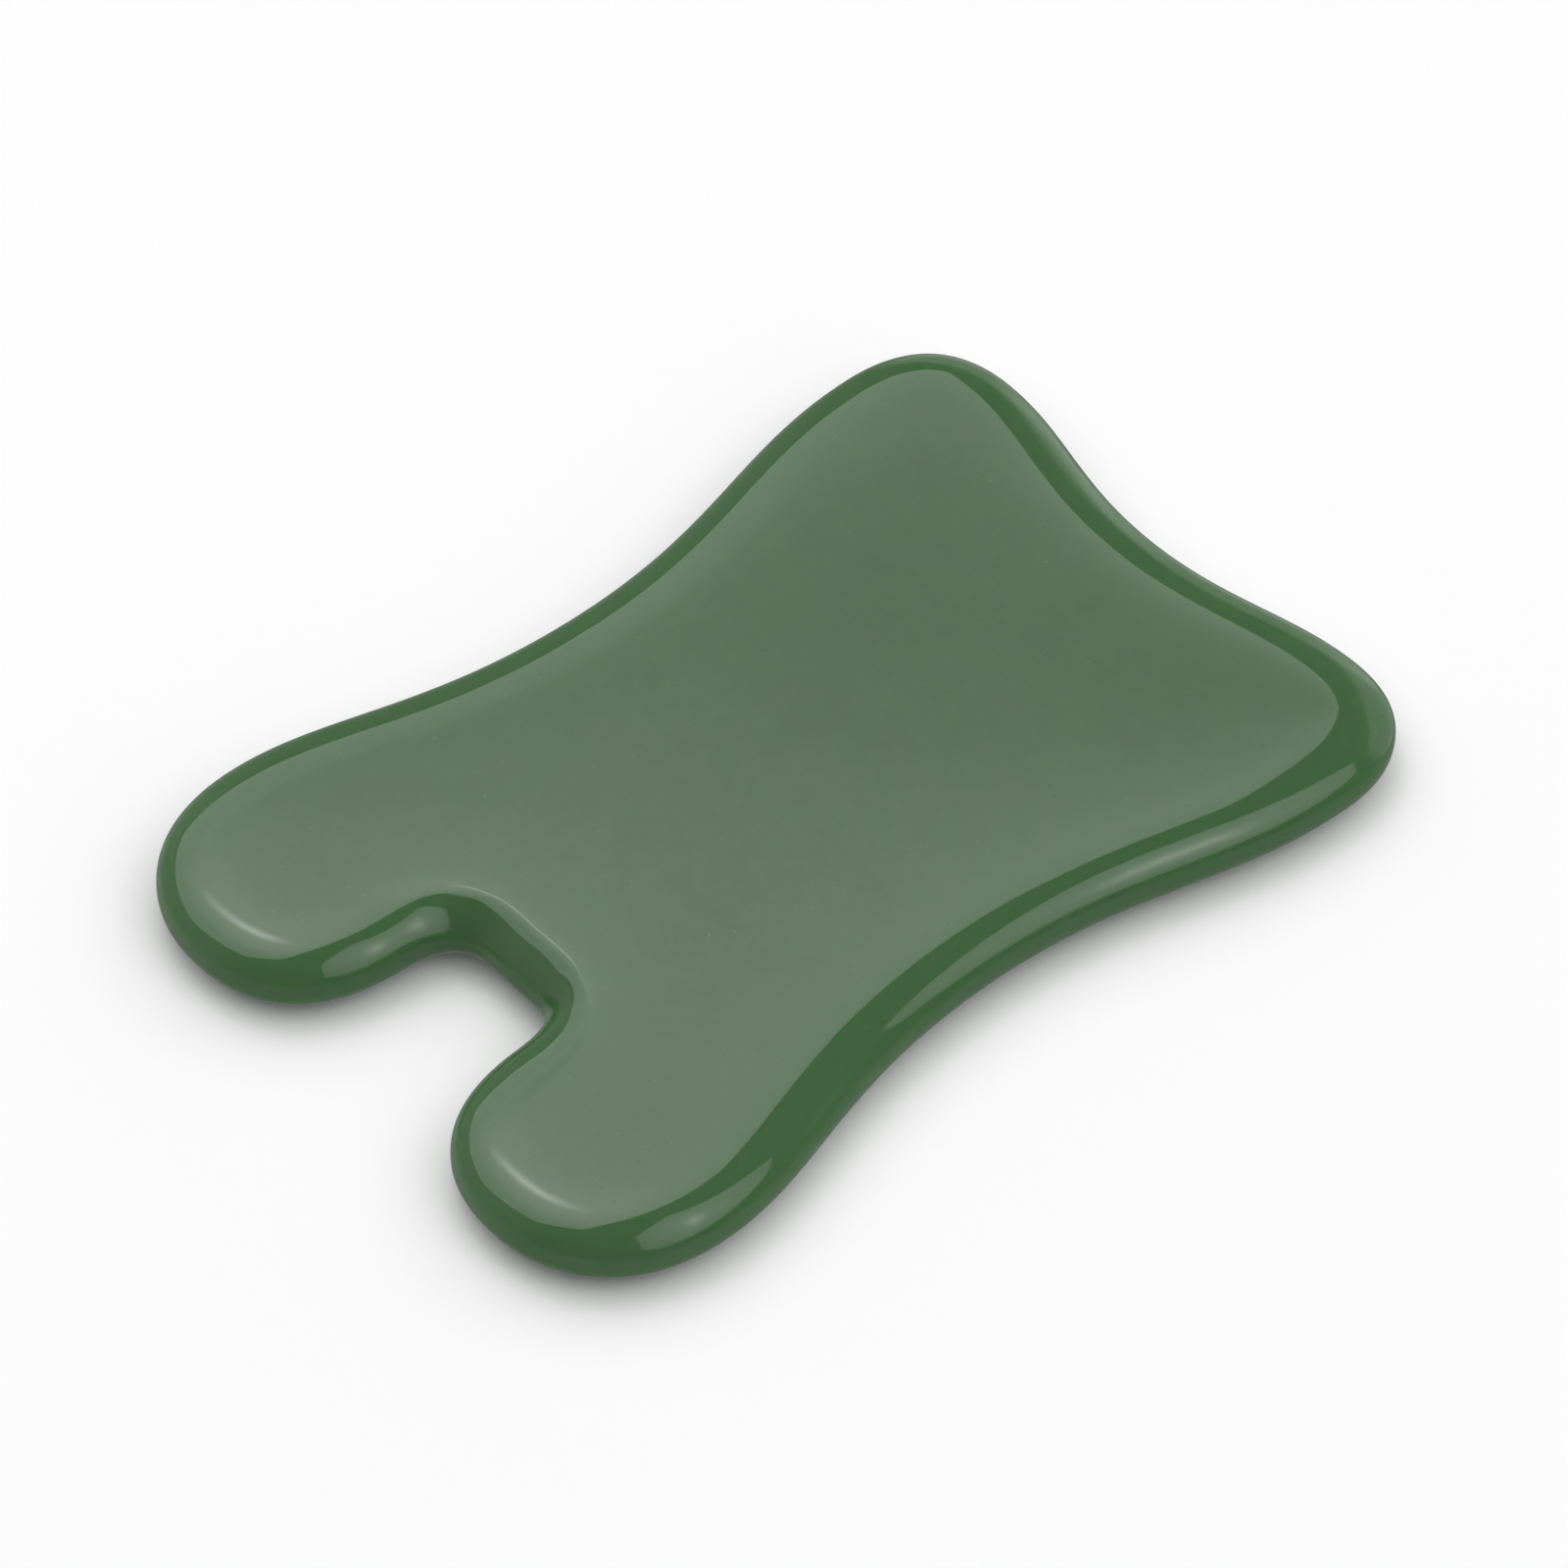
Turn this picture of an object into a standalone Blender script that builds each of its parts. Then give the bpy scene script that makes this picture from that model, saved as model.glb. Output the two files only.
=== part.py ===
"""Gua sha scraper: a massage board cut from one piece of green stone.

The plate lies flat on z = 0.  +X runs from the two prongs to the broad concave end,
the plan is symmetric about the X axis, and every edge is a full, polished round.
"""
from math import cos, pi, radians, sin

import bpy

# Driving dimensions, in metres
LENGTH = 0.085              # prong tips to the corners of the broad end
WIDTH = 0.0558              # across the prongs, and across the broad end's corners
THICKNESS = 0.006           # at the flat middle of the plate
WAIST_WIDTH = 0.0458        # across the two concave long sides
SLOT_WIDTH = 0.012          # between the prongs, where their walls run straight
SLOT_DEPTH = 0.0162         # from the prong tips to the slot's closed end
END_HOLLOW = 0.0031         # how far the broad end dips between its corners

# The edge's section: how far it reaches in from the outline, and how full it is
EDGE_REACH = 0.0056
EDGE_FULLNESS = 2.5         # 2 is an ellipse, more is fuller
EDGE_STEPS = 22             # faces from the underside round to the top

OUTLINE_STEPS = 10          # edges between two neighbouring outline points

JADE_GREEN = (0.045, 0.105, 0.040, 1.0)
JADE_ROUGHNESS = 0.12


def outline_points():
    """The outline's points on +Y, from the slot's closed end round to the broad end.

    Each is (x, y, direction in degrees, reach of the handle before it, and after it)."""
    tip = -LENGTH / 2
    end = LENGTH / 2
    side = WIDTH / 2
    return [
        (tip + SLOT_DEPTH, 0, 90, 0.0034, 0.0034),
        (tip + 0.0111, SLOT_WIDTH / 2, 177, 0.0059, 0.0073),
        (tip, 0.0164, 90, 0.0065, 0.0068),
        (tip + 0.0128, side, 0, 0.0079, 0.0091),
        (0.0006, WAIST_WIDTH / 2, 0, 0.0154, 0.0145),
        (end - 0.0096, side, 0, 0.0115, 0.0066),
        (end, 0.0192, -90, 0.0052, 0.0067),
        (end - END_HOLLOW, 0, -90, 0.0083, 0.0083),
    ]


def mirrored(points):
    """The same points on -Y, in the order that closes the outline."""
    return [(x, -y, 180 - angle, after, before)
            for x, y, angle, before, after in reversed(points[1:-1])]


def edge_section():
    """Half of a superellipse, from the rim of the underside round to the rim of the top."""
    points = []
    for step in range(EDGE_STEPS + 1):
        angle = pi * (step / EDGE_STEPS - 0.5)
        depth = 1 - abs(cos(angle)) ** (2 / EDGE_FULLNESS)
        rise = abs(sin(angle)) ** (2 / EDGE_FULLNESS)
        points.append((EDGE_REACH * depth, THICKNESS / 2 * (rise if angle > 0 else -rise)))
    return points


def add_section_curve(collection):
    """The edge's section as an open curve, for the outline to sweep."""
    curve = bpy.data.curves.new("edge_section", "CURVE")
    curve.dimensions = "2D"
    spline = curve.splines.new("POLY")
    section = edge_section()
    spline.points.add(len(section) - 1)
    for point, (across, height) in zip(spline.points, section):
        point.co = (across, height, 0, 1)
    section_object = bpy.data.objects.new("edge_section", curve)
    section_object.hide_render = True
    section_object.display_type = "WIRE"
    collection.objects.link(section_object)
    return section_object


def add_body(collection, section_object):
    """The stone plate: the filled outline with the rounded section swept along it."""
    curve = bpy.data.curves.new("scraper_body", "CURVE")
    curve.dimensions = "2D"
    curve.fill_mode = "BOTH"
    curve.resolution_u = OUTLINE_STEPS
    curve.bevel_mode = "OBJECT"
    curve.bevel_object = section_object
    half = outline_points()
    points = half + mirrored(half)
    spline = curve.splines.new("BEZIER")
    spline.bezier_points.add(len(points) - 1)
    spline.use_cyclic_u = True
    for point, (x, y, angle, before, after) in zip(spline.bezier_points, points):
        along = (cos(radians(angle)), sin(radians(angle)))
        point.handle_left_type = "FREE"
        point.handle_right_type = "FREE"
        point.co = (x, y, 0)
        point.handle_left = (x - along[0] * before, y - along[1] * before, 0)
        point.handle_right = (x + along[0] * after, y + along[1] * after, 0)
    body = bpy.data.objects.new("scraper_body", curve)
    body.location.z = THICKNESS / 2
    curve.materials.append(jade())
    collection.objects.link(body)


def jade():
    """Polished dark green stone."""
    material = bpy.data.materials.new("jade")
    material.use_nodes = True
    shader = material.node_tree.nodes["Principled BSDF"]
    shader.inputs["Base Color"].default_value = JADE_GREEN
    shader.inputs["Roughness"].default_value = JADE_ROUGHNESS
    shader.inputs["Metallic"].default_value = 0.0
    return material


def add_collection(name):
    collection = bpy.data.collections.new(name)
    bpy.context.scene.collection.children.link(collection)
    return collection


for old in list(bpy.data.objects):
    bpy.data.objects.remove(old, do_unlink=True)

section = add_section_curve(add_collection("cutters"))
add_body(add_collection("gua_sha_scraper"), section)
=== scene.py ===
"""Looks of the gua sha scraper: one polished piece of dark green jade on a pale studio table.

The stone is rebuilt as a fine mesh on the CAD part's own outline, so that the lights'
reflections run smoothly round its edges, and it takes a procedural jade material.
"""
from math import copysign, cos, exp, pi, radians, sin

import bpy
from mathutils import Matrix, Vector
from mathutils.geometry import delaunay_2d_cdt


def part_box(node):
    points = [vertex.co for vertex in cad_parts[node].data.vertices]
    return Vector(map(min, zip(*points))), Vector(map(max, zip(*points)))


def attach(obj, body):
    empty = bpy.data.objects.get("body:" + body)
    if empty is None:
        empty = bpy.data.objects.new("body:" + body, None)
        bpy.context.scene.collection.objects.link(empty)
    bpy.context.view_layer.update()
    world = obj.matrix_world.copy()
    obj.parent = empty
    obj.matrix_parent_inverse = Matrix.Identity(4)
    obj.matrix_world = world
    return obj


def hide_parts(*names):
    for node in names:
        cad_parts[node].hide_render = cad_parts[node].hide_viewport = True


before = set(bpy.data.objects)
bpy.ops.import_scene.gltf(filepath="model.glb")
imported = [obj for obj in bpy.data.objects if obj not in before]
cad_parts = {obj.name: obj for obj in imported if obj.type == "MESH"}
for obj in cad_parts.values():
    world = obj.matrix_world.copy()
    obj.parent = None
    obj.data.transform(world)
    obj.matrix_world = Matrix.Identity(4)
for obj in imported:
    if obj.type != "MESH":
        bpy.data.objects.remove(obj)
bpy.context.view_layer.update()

NODE = "scraper_body"
LOW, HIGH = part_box(NODE)
THICKNESS = HIGH.z - LOW.z

# The edge's section: how far it reaches in from the outline and how full it is, as the CAD
# part has it, and for its upper half at the slot's closed end, where it has a crisp arris
EDGE_REACH = 0.0056
EDGE_FULLNESS = 2.5
SLOT_REACH = 0.0030
SLOT_FULLNESS = 1.45

# Where the crisp arris starts to fade out from the slot's closed end, and over how much of
# the outline, both counted in stretches between two neighbouring outline points
ARRIS_HOLD = 0.45
ARRIS_FADE = 0.6

# How the polished faces fall away towards the edge: the slope where the edge's section
# begins, and the distance over which it fades out further in
FALL_SLOPE = 0.0165
FALL_LENGTH = 0.0032

# How far in from the outline the base colour is painted paler: a painted glow that stands in
# for light coming through the stone near its edges
PAINTED_GLOW_LENGTH = 0.006

# Fineness of the visible mesh
OUTLINE_STEPS = 36          # edges between two neighbouring outline points
TOP_STEPS = 36              # rows from the equator to the rim of the top
UNDER_STEPS = 24            # rows from the equator to the rim of the underside
FACE_GRID = 0.0012          # spacing of the points inside the flat faces
RIM_GAP = FACE_GRID * 0.6   # the least distance from such a point to the rim
MERGE_DISTANCE = 1e-9       # points nearer than this would be merged


# ---------------------------------------------------------------- the stone's shape

def outline_points():
    """The outline's points on +Y, from the slot's closed end round to the broad end.

    Each is (x, y, direction in degrees, reach of the handle before it, and after it)."""
    tip, end, side = LOW.x, HIGH.x, HIGH.y
    return [
        (tip + 0.0162, 0, 90, 0.0034, 0.0034),
        (tip + 0.0111, 0.0060, 177, 0.0059, 0.0073),
        (tip, 0.0164, 90, 0.0065, 0.0068),
        (tip + 0.0128, side, 0, 0.0079, 0.0091),
        (0.0006, 0.0229, 0, 0.0154, 0.0145),
        (end - 0.0096, side, 0, 0.0115, 0.0066),
        (end, 0.0192, -90, 0.0052, 0.0067),
        (end - 0.0031, 0, -90, 0.0083, 0.0083),
    ]


def bezier(start, handle_out, handle_in, end, t):
    """The point and the direction at t along one stretch of the outline."""
    s = 1 - t
    point = (start * s ** 3 + handle_out * 3 * s * s * t
             + handle_in * 3 * s * t * t + end * t ** 3)
    direction = ((handle_out - start) * s * s + (handle_in - handle_out) * 2 * s * t
                 + (end - handle_in) * t * t)
    return point, direction.normalized()


def outline():
    """The closed outline as (point, inward normal) pairs, seen from above."""
    anchors = []
    for x, y, angle, before, after in outline_points():
        along = Vector((cos(radians(angle)), sin(radians(angle))))
        point = Vector((x, y))
        anchors.append((point, point - along * before, point + along * after))
    half = []
    for (start, _, handle_out), (end, handle_in, _) in zip(anchors, anchors[1:]):
        for step in range(OUTLINE_STEPS):
            point, along = bezier(start, handle_out, handle_in, end, step / OUTLINE_STEPS)
            half.append((point, Vector((along.y, -along.x))))
    half.append((anchors[-1][0], Vector((-1, 0))))
    other = [(Vector((p.x, -p.y)), Vector((n.x, -n.y))) for p, n in reversed(half[1:-1])]
    return half + other


def edge_along(count):
    """The reach and the fullness of the section's upper half at each point of the outline."""
    edges = []
    for i in range(count):
        from_slot = min(i, count - i) / OUTLINE_STEPS
        away = min(max((from_slot - ARRIS_HOLD) / ARRIS_FADE, 0), 1)
        share = away * away * (3 - 2 * away)
        edges.append((SLOT_REACH + (EDGE_REACH - SLOT_REACH) * share,
                      SLOT_FULLNESS + (EDGE_FULLNESS - SLOT_FULLNESS) * share))
    return edges


def fall(beyond):
    """How far the face lies below its middle, this far in from the edge's section."""
    if beyond > 0:
        return FALL_SLOPE * FALL_LENGTH * exp(-beyond / FALL_LENGTH)
    return FALL_SLOPE * (FALL_LENGTH - beyond)


def section_angles():
    """The angle of each row of the edge's section, from the underside's rim to the top's."""
    angles = [-pi / 2 * (1 - row / UNDER_STEPS) for row in range(UNDER_STEPS)]
    return angles + [pi / 2 * row / TOP_STEPS for row in range(TOP_STEPS + 1)]


def face_fill(rim):
    """Points inside a closed rim on a regular grid, and triangles over them and the rim."""
    count = len(rim)
    xs = [p.x for p in rim]
    ys = [p.y for p in rim]
    inside = []
    columns = int((max(xs) - min(xs)) / FACE_GRID)
    rows = int((max(ys) - min(ys)) / FACE_GRID)
    for i in range(1, columns):
        for j in range(1, rows):
            inside.append(Vector((min(xs) + i * FACE_GRID + (j % 2) * FACE_GRID / 2,
                                  min(ys) + j * FACE_GRID)))
    inside = [p for p in inside
              if is_inside(p, rim) and min((p - q).length for q in rim) > RIM_GAP]
    edges = [(i, (i + 1) % count) for i in range(count)]
    points, _, triangles, _, _, _ = delaunay_2d_cdt(rim + inside, edges, [], 1, MERGE_DISTANCE)
    return points[count:], triangles


def is_inside(point, polygon):
    """Whether a point lies inside a closed polygon."""
    odd = False
    for a, b in zip(polygon, polygon[1:] + polygon[:1]):
        if (a.y > point.y) != (b.y > point.y):
            if point.x < a.x + (point.y - a.y) / (b.y - a.y) * (b.x - a.x):
                odd = not odd
    return odd


def stone_mesh():
    """The whole stone as one closed mesh."""
    ring = outline()
    count = len(ring)
    edges = edge_along(count)
    middle = (LOW.z + HIGH.z) / 2
    vertices = []
    insets = []
    for angle in section_angles():
        for (point, inward), edge in zip(ring, edges):
            reach, full = edge if angle > 0 else (EDGE_REACH, EDGE_FULLNESS)
            inset = reach * (1 - abs(cos(angle)) ** (2 / full))
            rise = copysign(abs(sin(angle)) ** (2 / full), angle)
            p = point + inward * inset
            height = middle + rise * (THICKNESS / 2 - fall(inset - reach))
            vertices.append((p.x, p.y, height))
            insets.append(inset)
    faces = []
    rows = len(vertices) // count
    for row in range(rows - 1):
        for i in range(count):
            j = (i + 1) % count
            faces.append((row * count + j, row * count + i,
                          (row + 1) * count + i, (row + 1) * count + j))
    for base, side in (((rows - 1) * count, 1), (0, -1)):
        inner, triangles = face_fill([Vector(v[:2]) for v in vertices[base:base + count]])
        first = len(vertices)
        for p in inner:
            depth, reach = min(((p - q).length, edge[0]) for (q, _), edge in zip(ring, edges))
            low = fall(depth - (reach if side > 0 else EDGE_REACH))
            vertices.append((p.x, p.y, middle + side * (THICKNESS / 2 - low)))
            insets.append(depth)
        for triangle in triangles:
            face = [base + v if v < count else first + v - count for v in triangle]
            faces.append(tuple(face) if side > 0 else tuple(reversed(face)))
    mesh = bpy.data.meshes.new("jade_stone")
    mesh.from_pydata(vertices, [], faces)
    # Painted glow: the base colour pales towards the outline, standing in for light that comes
    # through the stone's edges
    painted_edge_glow = mesh.attributes.new("painted_edge_glow", "FLOAT", "POINT")
    painted_edge_glow.data.foreach_set("value", [exp(-inset / PAINTED_GLOW_LENGTH) for inset in insets])
    mesh.polygons.foreach_set("use_smooth", [True] * len(mesh.polygons))
    return mesh


# ---------------------------------------------------------------- materials

def new_material(name):
    """A new material, its node tree and its shader."""
    material = bpy.data.materials.new(name)
    material.use_nodes = True
    return material, material.node_tree, material.node_tree.nodes["Principled BSDF"]


def noise(tree, place, scale, detail, roughness=0.5, distortion=0.0):
    """A noise pattern at the object's own coordinates: scale is in repeats per metre."""
    node = tree.nodes.new("ShaderNodeTexNoise")
    node.inputs["Scale"].default_value = scale
    node.inputs["Detail"].default_value = detail
    node.inputs["Roughness"].default_value = roughness
    node.inputs["Distortion"].default_value = distortion
    tree.links.new(place.outputs["Object"], node.inputs["Vector"])
    return node.outputs["Fac"]


def spread(tree, value, low, high, to_low, to_high):
    """A value taken from one range to another, and held at its ends."""
    node = tree.nodes.new("ShaderNodeMapRange")
    node.inputs["From Min"].default_value = low
    node.inputs["From Max"].default_value = high
    node.inputs["To Min"].default_value = to_low
    node.inputs["To Max"].default_value = to_high
    tree.links.new(value, node.inputs["Value"])
    return node.outputs["Result"]


def blend(tree, amount, first, second):
    """A mix of two colours, each a colour or another node's output."""
    node = tree.nodes.new("ShaderNodeMix")
    node.data_type = "RGBA"
    tree.links.new(amount, node.inputs["Factor"])
    # Of this node's many sockets, 6 and 7 take the two colours, and output 2 gives the mix
    for socket, colour in ((node.inputs[6], first), (node.inputs[7], second)):
        if isinstance(colour, tuple):
            socket.default_value = colour
        else:
            tree.links.new(colour, socket)
    return node.outputs[2]


def bump(tree, height, distance, under):
    """The normal of a surface raised by this height pattern, on top of another's."""
    node = tree.nodes.new("ShaderNodeBump")
    node.inputs["Distance"].default_value = distance
    tree.links.new(height, node.inputs["Height"])
    if under is not None:
        tree.links.new(under, node.inputs["Normal"])
    return node.outputs["Normal"]


def jade():
    """Polished jade: cloudy mid green with fine grain, a few pale flecks and dark specks, and a
    painted glow that pales it near its edges.
    """
    material, tree, shader = new_material("jade")
    place = tree.nodes.new("ShaderNodeTexCoord")
    clouds = noise(tree, place, 75, 3, 0.55, 0.4)
    mottles = noise(tree, place, 300, 3, 0.6)
    veils = noise(tree, place, 420, 3, 0.6, 0.3)
    grain = noise(tree, place, 900, 4, 0.65)
    flecks = noise(tree, place, 2600, 1)
    specks = noise(tree, place, 2100, 1, distortion=0.3)
    gloss = noise(tree, place, 160, 4, 0.6)
    # The painted glow near the edges, read from the mesh
    painted_edge_glow = tree.nodes.new("ShaderNodeAttribute")
    painted_edge_glow.attribute_name = "painted_edge_glow"

    # Each layer is (amount, colour), and lies over the ones before it
    green = (0.0492, 0.1070, 0.0447, 1)
    layers = [
        (spread(tree, clouds, 0.32, 0.68, 0, 1), (0.0542, 0.1150, 0.0467, 1)),
        (spread(tree, mottles, 0.3, 0.7, 0, 0.3), (0.040, 0.135, 0.030, 1)),
        (spread(tree, veils, 0.3, 0.7, 0, 0.24), (0.070, 0.128, 0.062, 1)),
        (spread(tree, grain, 0.3, 0.7, 0, 0.16), (0.085, 0.165, 0.075, 1)),
        # painted glow: paler green near the edges, for light coming through the stone
        (painted_edge_glow.outputs["Fac"], (0.067, 0.149, 0.060, 1)),
        (spread(tree, flecks, 0.76, 0.82, 0, 0.35), (0.16, 0.24, 0.13, 1)),
        (spread(tree, specks, 0.77, 0.83, 0, 0.4), (0.018, 0.035, 0.015, 1)),
    ]
    for amount, colour in layers:
        green = blend(tree, amount, green, colour)
    waves = bump(tree, noise(tree, place, 70, 1), 2.0e-5, None)
    pits = bump(tree, noise(tree, place, 800, 2), 6.0e-7, waves)

    tree.links.new(green, shader.inputs["Base Color"])
    tree.links.new(spread(tree, gloss, 0.3, 0.7, 0.018, 0.042), shader.inputs["Roughness"])
    tree.links.new(pits, shader.inputs["Normal"])
    shader.inputs["IOR"].default_value = 1.6
    shader.inputs["Subsurface Weight"].default_value = 1.0
    shader.inputs["Subsurface Radius"].default_value = (0.5, 1.0, 0.45)
    shader.inputs["Subsurface Scale"].default_value = 0.004
    return material


# ---------------------------------------------------------------- camera, lights and table

VIEW_BEARING = -45.4
VIEW_HEIGHT = 48.87         # degrees above the table
VIEW_ROLL = 3.83            # degrees
VIEW_DISTANCE = 0.6142      # from the stone's middle
LENS = 189.3                # mm on a 36 mm sensor
AIM_RIGHT, AIM_UP = 0.00071, 0.00127    # from the stone's middle to the picture's middle

# Each light panel is seen from the stone at a bearing (counter-clockwise from +X) and a
# height, in degrees.  Its corners and its glows are in metres across and up the panel
PANEL_DISTANCE = 1.2
OVERHEAD_BEARING, OVERHEAD_HEIGHT = 83.3, 54.5
OVERHEAD_CORNERS = [(-0.95, -0.36), (0, -0.78), (1.0, -0.12), (0.9, 0.63), (0.33, 0.97),
                    (-0.65, 0.62)]
OVERHEAD_GLOWS = [
    # the whole panel, brightest in its middle
    ((-0.06, 0.30), (1, 1), 0,
     [(0, 0.7), (0.34, 0.75), (0.44, 1.0), (0.54, 1.12), (0.7, 1.5), (1, 1.8)]),
    # its hot core, which makes the thin bright lines on the prongs and at the slot
    ((-0.02, 0.23), (0.34, 0.13), 111, [(0, 0), (0.4, 0.8), (1, 3.2)]),
    # a little more all over, except in the darker valley that the flat top mirrors
    ((-0.58, 0.0), (0.5, 0.11), 151, [(0, 0.55), (0.4, 0.42), (0.8, 0.08), (1, 0)]),
]
SIDE_BEARING, SIDE_HEIGHT = -77.4, 39.5
SIDE_CORNERS = [(0.32, 0.96), (-0.25, 0.59), (-0.46, 0.2), (-0.69, -0.34), (-0.49, -0.62),
                (-0.13, -0.64), (0.33, -0.48), (0.6, -0.18), (0.71, 0.3)]
SIDE_GLOWS = [
    # the whole panel, and its core, for the streaks along the near edge
    ((0.15, 0.24), (0.95, 0.6), -107, [(0, 0.75), (0.5, 1.2), (1, 1.6)]),
    ((0.15, 0.24), (0.5, 0.11), -107, [(0, 0), (0.5, 0.5), (1, 1.5)]),
]

# The dim surroundings, and their brighter patches as (bearing, height, nearness where the
# patch starts, and where it is full, extra brightness)
WORLD_LEVEL = 0.07
WORLD_PATCHES = [(-5, 10, 0.81, 0.88, 0.48), (35, 0, 0.92, 0.96, 0.4),
                 (115, 5, 0.4, 0.9, 0.22), (0, -90, 0.0, 0.3, 0.17)]

FILL_STRENGTH = 2.35
FILL_SPREAD = 120           # degrees across
FILL_TILT = 7               # degrees from straight overhead towards +X

TABLE_SIZE = 6
TABLE_WHITE = 0.9


def placement(x_axis, y_axis, z_axis, place):
    """The matrix that puts an object's own axes along these directions."""
    matrix = Matrix((x_axis, y_axis, z_axis)).transposed().to_4x4()
    matrix.translation = place
    return matrix


def view_axes():
    """The camera's right, up and back directions, before its roll."""
    a, e = radians(VIEW_BEARING), radians(VIEW_HEIGHT)
    right = Vector((cos(a), sin(a), 0))
    back = Vector((sin(a) * cos(e), -cos(a) * cos(e), sin(e)))
    return right, back.cross(right), back


def add_camera():
    """The camera, at the photo's viewing angle."""
    right, up, back = view_axes()
    r = radians(VIEW_ROLL)
    right, up = right * cos(r) + up * sin(r), up * cos(r) - right * sin(r)
    middle = (LOW + HIGH) / 2
    place = middle + back * VIEW_DISTANCE
    aim = middle + right * AIM_RIGHT + up * AIM_UP
    back = (place - aim).normalized()
    right = up.cross(back).normalized()
    up = back.cross(right)
    data = bpy.data.cameras.new("camera")
    data.lens = LENS
    data.sensor_width = 36
    data.clip_start = 0.01
    camera = bpy.data.objects.new("camera", data)
    bpy.context.collection.objects.link(camera)
    camera.matrix_world = placement(right, up, back, place)
    bpy.context.scene.camera = camera


def direction(bearing, height):
    """A direction from the stone: bearing counter-clockwise from +X, both in degrees."""
    b, h = radians(bearing), radians(height)
    return Vector((cos(b) * cos(h), sin(b) * cos(h), sin(h)))


def add_glow(tree, place, at, size, turn, levels):
    """Light that changes towards one place on a panel, in an oval of this size and turn.

    The levels are (nearness to that place from 0 to 1, brightness) pairs."""
    mapping = tree.nodes.new("ShaderNodeMapping")
    mapping.vector_type = "TEXTURE"
    mapping.inputs["Location"].default_value = (*at, 0)
    mapping.inputs["Rotation"].default_value = (0, 0, radians(turn))
    mapping.inputs["Scale"].default_value = (*size, 1)
    nearness = tree.nodes.new("ShaderNodeTexGradient")
    nearness.gradient_type = "SPHERICAL"
    ramp = tree.nodes.new("ShaderNodeValToRGB")
    peak = max(level for _, level in levels)
    stops = ramp.color_ramp.elements
    while len(stops) < len(levels):
        stops.new(0.5)
    for stop, (position, level) in zip(stops, levels):
        stop.position = position
        stop.color = (level / peak, level / peak, level / peak, 1)
    emission = tree.nodes.new("ShaderNodeEmission")
    emission.inputs["Strength"].default_value = peak
    tree.links.new(place.outputs["Object"], mapping.inputs["Vector"])
    tree.links.new(mapping.outputs["Vector"], nearness.inputs["Vector"])
    tree.links.new(nearness.outputs["Fac"], ramp.inputs["Fac"])
    tree.links.new(ramp.outputs["Color"], emission.inputs["Color"])
    return emission.outputs["Emission"]


def add_panel(name, bearing, height, corners, glows):
    """A soft light panel that faces the stone; its glows add up."""
    out = direction(bearing, height)
    across = Vector((0, 0, 1)).cross(out).normalized()
    rise = out.cross(across)
    mesh = bpy.data.meshes.new(name)
    mesh.from_pydata([(x, y, 0) for x, y in corners], [], [range(len(corners))])
    panel = bpy.data.objects.new(name, mesh)
    panel.matrix_world = placement(across, rise, out, out * PANEL_DISTANCE)
    bpy.context.collection.objects.link(panel)
    material = bpy.data.materials.new(name)
    material.use_nodes = True
    tree = material.node_tree
    tree.nodes.clear()
    place = tree.nodes.new("ShaderNodeTexCoord")
    light = None
    for glow in glows:
        more = add_glow(tree, place, *glow)
        if light is None:
            light = more
        else:
            total = tree.nodes.new("ShaderNodeAddShader")
            tree.links.new(light, total.inputs[0])
            tree.links.new(more, total.inputs[1])
            light = total.outputs[0]
    output = tree.nodes.new("ShaderNodeOutputMaterial")
    tree.links.new(light, output.inputs["Surface"])
    mesh.materials.append(material)
    panel.visible_camera = False


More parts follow.
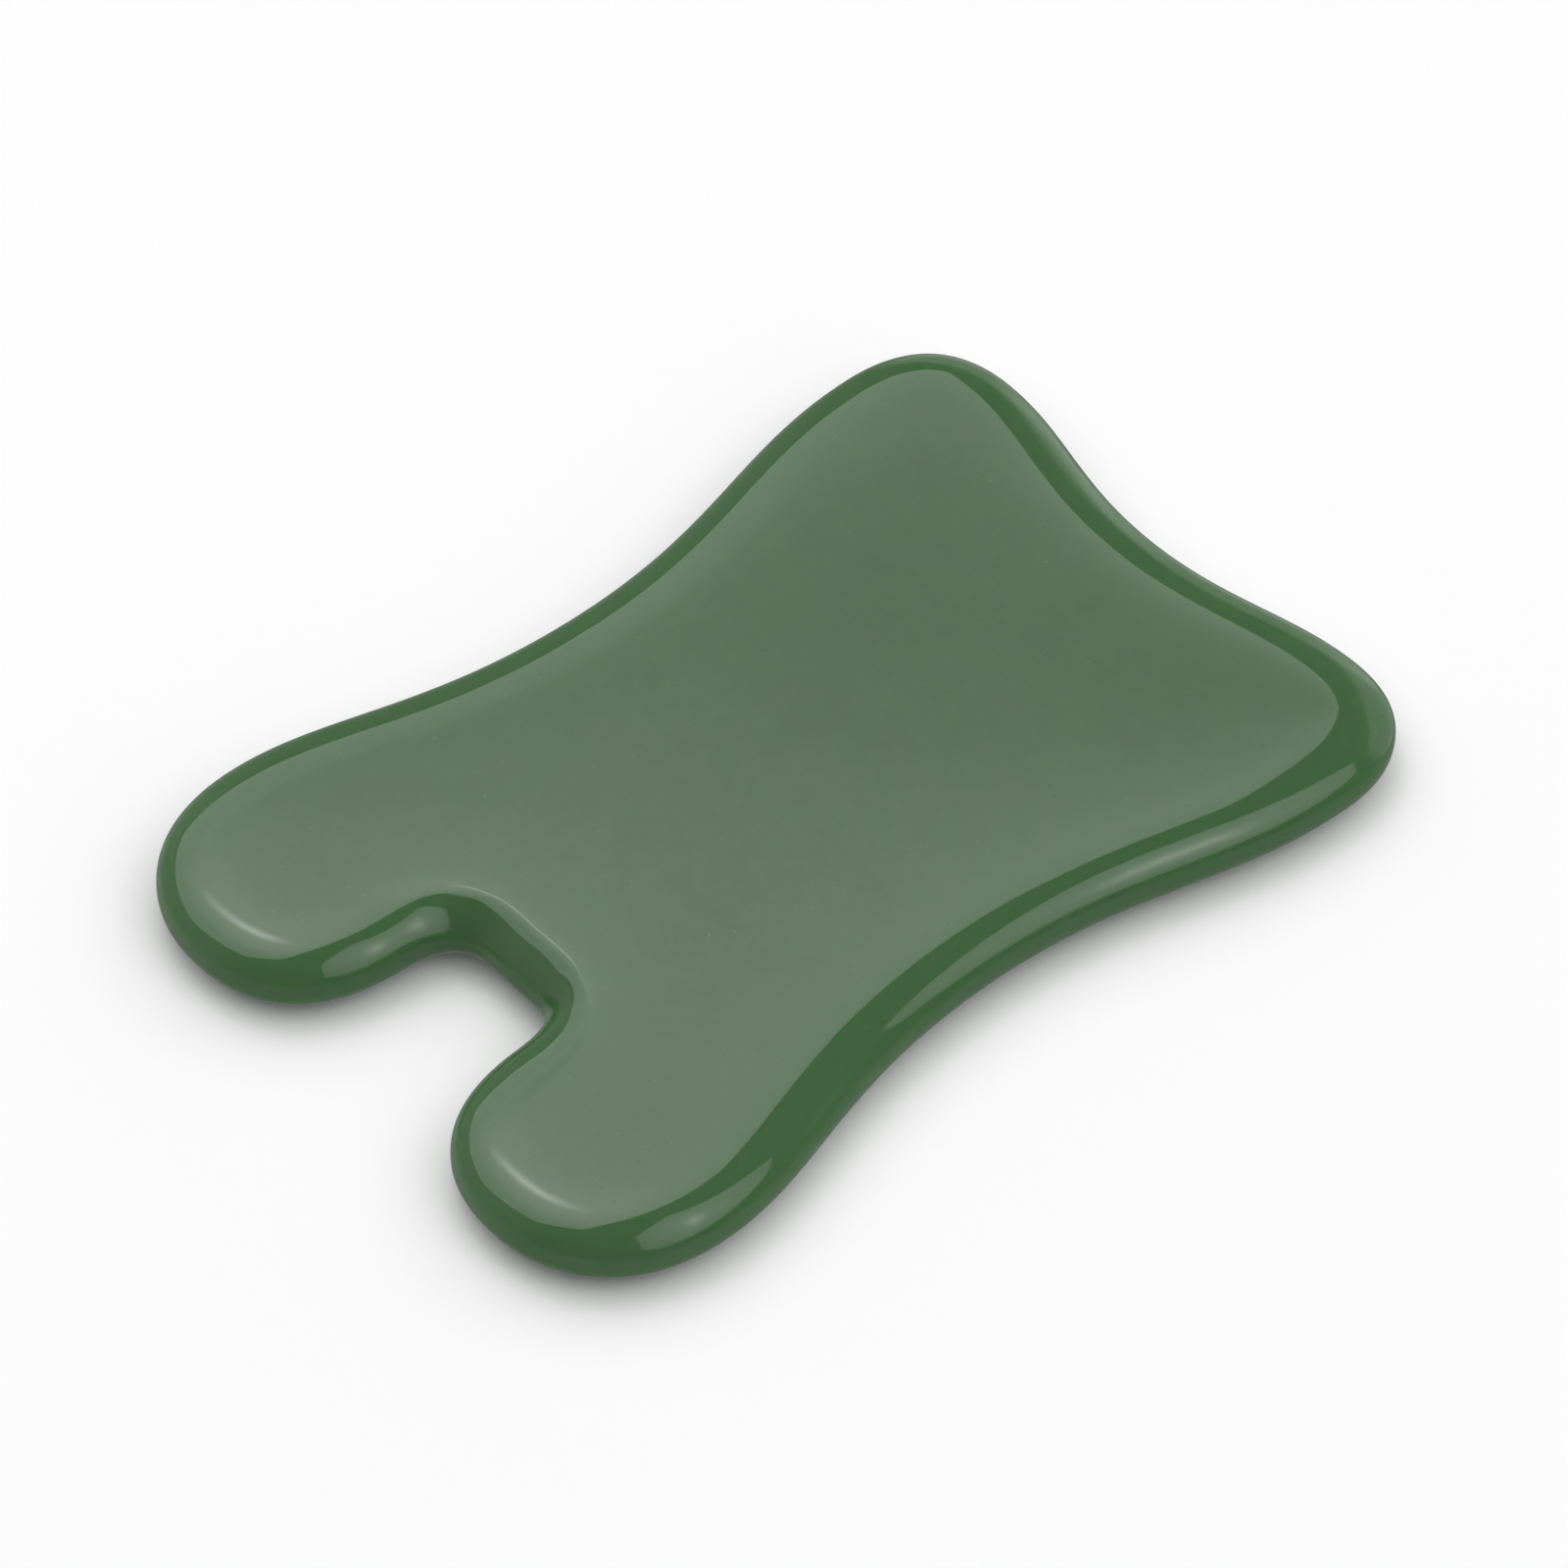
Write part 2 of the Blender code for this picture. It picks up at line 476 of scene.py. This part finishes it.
def add_world():
    """Dim surroundings with brighter patches."""
    world = bpy.data.worlds.new("studio")
    bpy.context.scene.world = world
    world.use_nodes = True
    tree = world.node_tree
    background = tree.nodes["Background"]
    place = tree.nodes.new("ShaderNodeTexCoord")
    level = None
    for bearing, height, start, full, extra in WORLD_PATCHES:
        nearness = tree.nodes.new("ShaderNodeVectorMath")
        nearness.operation = "DOT_PRODUCT"
        nearness.inputs[1].default_value = direction(bearing, height)
        patch = tree.nodes.new("ShaderNodeMapRange")
        patch.interpolation_type = "SMOOTHSTEP"
        patch.inputs["From Min"].default_value = start
        patch.inputs["From Max"].default_value = full
        patch.inputs["To Max"].default_value = extra
        total = tree.nodes.new("ShaderNodeMath")
        total.inputs[0].default_value = WORLD_LEVEL
        if level is not None:
            tree.links.new(level, total.inputs[0])
        tree.links.new(place.outputs["Generated"], nearness.inputs[0])
        tree.links.new(nearness.outputs["Value"], patch.inputs["Value"])
        tree.links.new(patch.outputs["Result"], total.inputs[1])
        level = total.outputs["Value"]
    tree.links.new(level, background.inputs["Strength"])
    background.inputs["Color"].default_value = (1, 1, 1, 1)


def add_table():
    """A plain white table, which doesn't show in the stone's reflections."""
    bpy.ops.mesh.primitive_plane_add(size=TABLE_SIZE, location=(0, 0, LOW.z))
    table = bpy.context.object
    table.name = "table"
    material, _, shader = new_material("table")
    shader.inputs["Base Color"].default_value = (TABLE_WHITE, TABLE_WHITE, TABLE_WHITE, 1)
    shader.inputs["Roughness"].default_value = 0.8
    table.data.materials.append(material)
    table.visible_glossy = False


def add_fill():
    """Soft light from overhead that brightens the colours and leaves no reflection."""
    data = bpy.data.lights.new("fill", "SUN")
    data.energy = FILL_STRENGTH
    data.angle = radians(FILL_SPREAD)
    fill = bpy.data.objects.new("fill", data)
    fill.rotation_euler = (0, radians(FILL_TILT), 0)
    fill.visible_glossy = False
    bpy.context.collection.objects.link(fill)


# ---------------------------------------------------------------- putting it together

stone = bpy.data.objects.new("jade_stone", stone_mesh())
bpy.context.collection.objects.link(stone)
stone.data.materials.append(jade())
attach(stone, "root")
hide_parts(NODE)

add_camera()
add_panel("overhead_panel", OVERHEAD_BEARING, OVERHEAD_HEIGHT, OVERHEAD_CORNERS, OVERHEAD_GLOWS)
add_panel("side_panel", SIDE_BEARING, SIDE_HEIGHT, SIDE_CORNERS, SIDE_GLOWS)
add_world()
add_fill()
add_table()
bpy.context.scene.view_settings.view_transform = "Standard"
